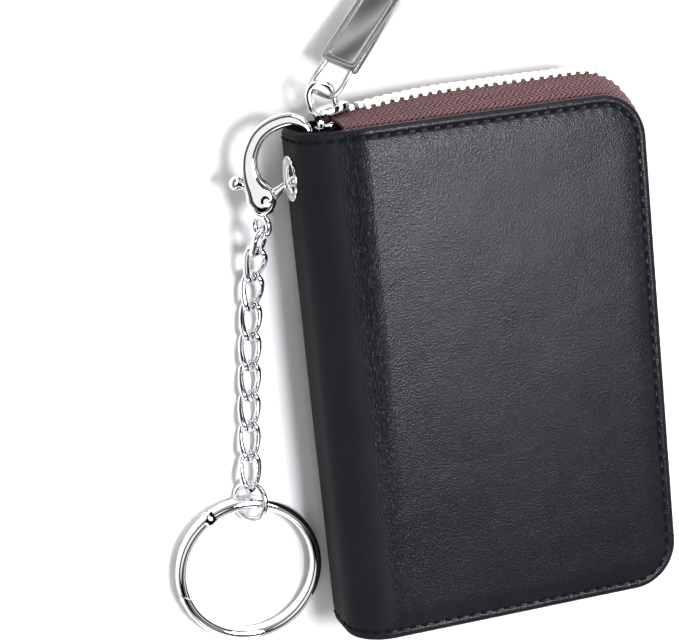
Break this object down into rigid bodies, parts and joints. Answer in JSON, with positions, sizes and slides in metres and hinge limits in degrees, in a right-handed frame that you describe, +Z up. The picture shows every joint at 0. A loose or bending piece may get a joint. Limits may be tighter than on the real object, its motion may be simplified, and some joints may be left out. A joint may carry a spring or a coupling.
{
  "type": "card wallet",
  "caption": "Zip-around leather card wallet with an accordion of fabric pockets, a slip pocket and a clasped chain with a spring-gate key ring.",
  "frame": {"origin": "middle of the shut wallet's height and width on the back cover's outer face, which it lies on", "axes": "+Z up through the thickness to the front cover, +Y to the edge where the zip slider parks, +X to the mouth, with the spine on the -X side"},
  "size_m": [0.1134, 0.1427, 0.026],
  "materials": {
    "leather": "smooth black leather, semi-gloss",
    "board": "uncoated stiffening board",
    "twill": "brown diagonal twill",
    "tape": "dark wine herringbone tape with bright metal teeth",
    "chrome": "polished plating",
    "nickel": "satin grey plating"
  },
  "bodies": {
    "wallet_base": {"back_cover_leather": "leather", "back_cover_board": "board", "back_cover_lining": "twill", "pocket_end_back": "twill", "slip_pocket": "leather", "back_zip_stringer": "tape", "zip_stop": "nickel"},
    "spine": {"spine_leather": "leather", "spine_lining": "twill", "eyelet": "chrome", "eyelet_washer": "chrome"},
    "front_cover": {"front_cover_leather": "leather", "front_cover_board": "board", "front_cover_lining": "twill", "front_zip_stringer": "tape"},
    "pocket_01": {"pocket_leaf_01": "twill"},
    "pocket_02": {"pocket_leaf_02": "twill"},
    "pocket_03": {"pocket_leaf_03": "twill"},
    "pocket_04": {"pocket_leaf_04": "twill"},
    "pocket_05": {"pocket_leaf_05": "twill"},
    "pocket_06": {"pocket_leaf_06": "twill"},
    "pocket_07": {"pocket_leaf_07": "twill"},
    "pocket_08": {"pocket_leaf_08": "twill"},
    "pocket_09": {"pocket_leaf_09": "twill"},
    "pocket_10": {"pocket_leaf_10": "twill"},
    "pocket_11": {"pocket_leaf_11": "twill"},
    "pocket_12": {"pocket_leaf_12": "twill"},
    "pocket_13": {"pocket_leaf_13": "twill"},
    "pocket_14": {"pocket_end_front": "twill"},
    "slider": {"zip_slider": "chrome"},
    "pull": {"pull_tab": "nickel"},
    "clasp": {"clasp_body": "chrome", "clasp_pin": "chrome"},
    "gate": {"clasp_gate": "chrome"},
    "oval_link": {"oval_link": "chrome"},
    "link_1": {"chain_link_1": "chrome"},
    "link_2": {"chain_link_2": "chrome"},
    "link_3": {"chain_link_3": "chrome"},
    "link_4": {"chain_link_4": "chrome"},
    "link_5": {"chain_link_5": "chrome"},
    "link_6": {"chain_link_6": "chrome"},
    "link_7": {"chain_link_7": "chrome"},
    "link_8": {"chain_link_8": "chrome"},
    "jump": {"jump_ring": "chrome"},
    "key_ring": {"key_ring_body": "chrome", "key_ring_pin": "chrome"},
    "key_gate": {"key_ring_gate": "chrome"}
  },
  "joints": [
    {"name": "spine_fold", "type": "hinge", "parent": "wallet_base", "child": "spine", "pos_m": [-0.0285, 0, 0], "axis": [0, -1, 0], "range_deg": [0, 45]},
    {"name": "front_cover_fold", "type": "hinge", "parent": "spine", "child": "front_cover", "pos_m": [-0.0285, 0, 0.026], "axis": [0, -1, 0], "range_deg": [0, 45]},
    {"name": "pocket_fold_01", "type": "hinge", "parent": "wallet_base", "child": "pocket_01", "pos_m": [-0.0306, 0, 0.00364], "axis": [0, -1, 0], "range_deg": [0, 6.45]},
    {"name": "pocket_fold_02", "type": "hinge", "parent": "pocket_01", "child": "pocket_02", "pos_m": [-0.0306, 0, 0.00502], "axis": [0, -1, 0], "range_deg": [0, 6.45]},
    {"name": "pocket_fold_03", "type": "hinge", "parent": "pocket_02", "child": "pocket_03", "pos_m": [-0.0306, 0, 0.00641], "axis": [0, -1, 0], "range_deg": [0, 6.45]},
    {"name": "pocket_fold_04", "type": "hinge", "parent": "pocket_03", "child": "pocket_04", "pos_m": [-0.0306, 0, 0.00779], "axis": [0, -1, 0], "range_deg": [0, 6.45]},
    {"name": "pocket_fold_05", "type": "hinge", "parent": "pocket_04", "child": "pocket_05", "pos_m": [-0.0306, 0, 0.00917], "axis": [0, -1, 0], "range_deg": [0, 6.45]},
    {"name": "pocket_fold_06", "type": "hinge", "parent": "pocket_05", "child": "pocket_06", "pos_m": [-0.0306, 0, 0.01055], "axis": [0, -1, 0], "range_deg": [0, 6.45]},
    {"name": "pocket_fold_07", "type": "hinge", "parent": "pocket_06", "child": "pocket_07", "pos_m": [-0.0306, 0, 0.01193], "axis": [0, -1, 0], "range_deg": [0, 6.45]},
    {"name": "pocket_fold_08", "type": "hinge", "parent": "pocket_07", "child": "pocket_08", "pos_m": [-0.0306, 0, 0.01332], "axis": [0, -1, 0], "range_deg": [0, 6.45]},
    {"name": "pocket_fold_09", "type": "hinge", "parent": "pocket_08", "child": "pocket_09", "pos_m": [-0.0306, 0, 0.0147], "axis": [0, -1, 0], "range_deg": [0, 6.45]},
    {"name": "pocket_fold_10", "type": "hinge", "parent": "pocket_09", "child": "pocket_10", "pos_m": [-0.0306, 0, 0.01608], "axis": [0, -1, 0], "range_deg": [0, 6.45]},
    {"name": "pocket_fold_11", "type": "hinge", "parent": "pocket_10", "child": "pocket_11", "pos_m": [-0.0306, 0, 0.01746], "axis": [0, -1, 0], "range_deg": [0, 6.45]},
    {"name": "pocket_fold_12", "type": "hinge", "parent": "pocket_11", "child": "pocket_12", "pos_m": [-0.0306, 0, 0.01885], "axis": [0, -1, 0], "range_deg": [0, 6.45]},
    {"name": "pocket_fold_13", "type": "hinge", "parent": "pocket_12", "child": "pocket_13", "pos_m": [-0.0306, 0, 0.02023], "axis": [0, -1, 0], "range_deg": [0, 6.45]},
    {"name": "pocket_fold_14", "type": "hinge", "parent": "pocket_13", "child": "pocket_14", "pos_m": [-0.0306, 0, 0.02161], "axis": [0, -1, 0], "range_deg": [0, 6.45]},
    {"name": "zip_slide", "type": "slide", "parent": "wallet_base", "child": "slider", "axis": [0.9987, 0.0518, 0], "range_m": [0, 0.045], "deforming": ["back_zip_stringer", "front_zip_stringer"]},
    {"name": "pull_hinge", "type": "hinge", "parent": "slider", "child": "pull", "pos_m": [-0.02947, 0.06173, 0.013], "axis": [-0.6227, 0.4218, -0.659], "range_deg": [-60, 20]},
    {"name": "clasp_swing", "type": "hinge", "parent": "spine", "child": "clasp", "pos_m": [-0.0365, 0.045, 0.013], "axis": [0, 1, 0], "range_deg": [-10, 40]},
    {"name": "clasp_gate_spring", "type": "hinge", "parent": "clasp", "child": "gate", "pos_m": [-0.0431, 0.041, 0.01136], "axis": [-0.2419, 0, 0.9703], "range_deg": [0, 12], "stiffness_Nm_per_rad": 0.02, "springref_deg": -17.19},
    {"name": "oval_link_swing", "type": "hinge", "parent": "clasp", "child": "oval_link", "pos_m": [-0.04481, 0.03442, 0.01097], "axis": [0.9919, -0.1271, 0], "range_deg": [-20, 12]},
    {"name": "link_1_swing", "type": "hinge", "parent": "oval_link", "child": "link_1", "pos_m": [-0.0454, 0.02985, 0.00713], "axis": [-0.9919, 0.1271, 0], "range_deg": [-20, 20]},
    {"name": "link_2_swing", "type": "hinge", "parent": "link_1", "child": "link_2", "pos_m": [-0.04616, 0.02392, 0.00411], "axis": [0.9919, -0.1271, 0], "range_deg": [-20, 20]},
    {"name": "link_3_swing", "type": "hinge", "parent": "link_2", "child": "link_3", "pos_m": [-0.04698, 0.01748, 0.00246], "axis": [-0.9919, 0.1271, 0], "range_deg": [-20, 20]},
    {"name": "link_4_swing", "type": "hinge", "parent": "link_3", "child": "link_4", "pos_m": [-0.04783, 0.01086, 0.00182], "axis": [0.9919, -0.1271, 0], "range_deg": [-20, 20]},
    {"name": "link_5_swing", "type": "hinge", "parent": "link_4", "child": "link_5", "pos_m": [-0.04868, 0.00421, 0.00182], "axis": [-0.9919, 0.1271, 0], "range_deg": [-20, 20]},
    {"name": "link_6_swing", "type": "hinge", "parent": "link_5", "child": "link_6", "pos_m": [-0.04954, -0.00243, 0.00182], "axis": [0.9919, -0.1271, 0], "range_deg": [-20, 20]},
    {"name": "link_7_swing", "type": "hinge", "parent": "link_6", "child": "link_7", "pos_m": [-0.05039, -0.00908, 0.00182], "axis": [-0.9919, 0.1271, 0], "range_deg": [-20, 20]},
    {"name": "link_8_swing", "type": "hinge", "parent": "link_7", "child": "link_8", "pos_m": [-0.05123, -0.01569, 0.0025], "axis": [0.9919, -0.1271, 0], "range_deg": [-20, 20]},
    {"name": "jump_ring_swing", "type": "hinge", "parent": "link_8", "child": "jump", "pos_m": [-0.05207, -0.02222, 0.00375], "axis": [-0.9919, 0.1271, 0], "range_deg": [-20, 20]},
    {"name": "key_ring_swing", "type": "hinge", "parent": "jump", "child": "key_ring", "pos_m": [-0.05253, -0.02583, 0.00375], "axis": [0.9919, -0.1271, 0], "range_deg": [-20, 20]},
    {"name": "key_gate_spring", "type": "hinge", "parent": "key_ring", "child": "key_gate", "pos_m": [-0.06225, -0.02783, 0.00356], "axis": [-0.0074, -0.0579, 0.9983], "range_deg": [0, 35], "stiffness_Nm_per_rad": 0.02, "springref_deg": -17.19}
  ],
  "couplings": [
    {"joint": "spine_fold", "follows": "front_cover_fold", "ratio": 1},
    {"joint": "pocket_fold_01", "follows": "front_cover_fold", "ratio": 0.14286},
    {"joint": "pocket_fold_02", "follows": "front_cover_fold", "ratio": 0.14286},
    {"joint": "pocket_fold_03", "follows": "front_cover_fold", "ratio": 0.14286},
    {"joint": "pocket_fold_04", "follows": "front_cover_fold", "ratio": 0.14286},
    {"joint": "pocket_fold_05", "follows": "front_cover_fold", "ratio": 0.14286},
    {"joint": "pocket_fold_06", "follows": "front_cover_fold", "ratio": 0.14286},
    {"joint": "pocket_fold_07", "follows": "front_cover_fold", "ratio": 0.14286},
    {"joint": "pocket_fold_08", "follows": "front_cover_fold", "ratio": 0.14286},
    {"joint": "pocket_fold_09", "follows": "front_cover_fold", "ratio": 0.14286},
    {"joint": "pocket_fold_10", "follows": "front_cover_fold", "ratio": 0.14286},
    {"joint": "pocket_fold_11", "follows": "front_cover_fold", "ratio": 0.14286},
    {"joint": "pocket_fold_12", "follows": "front_cover_fold", "ratio": 0.14286},
    {"joint": "pocket_fold_13", "follows": "front_cover_fold", "ratio": 0.14286},
    {"joint": "pocket_fold_14", "follows": "front_cover_fold", "ratio": 0.14286}
  ]
}
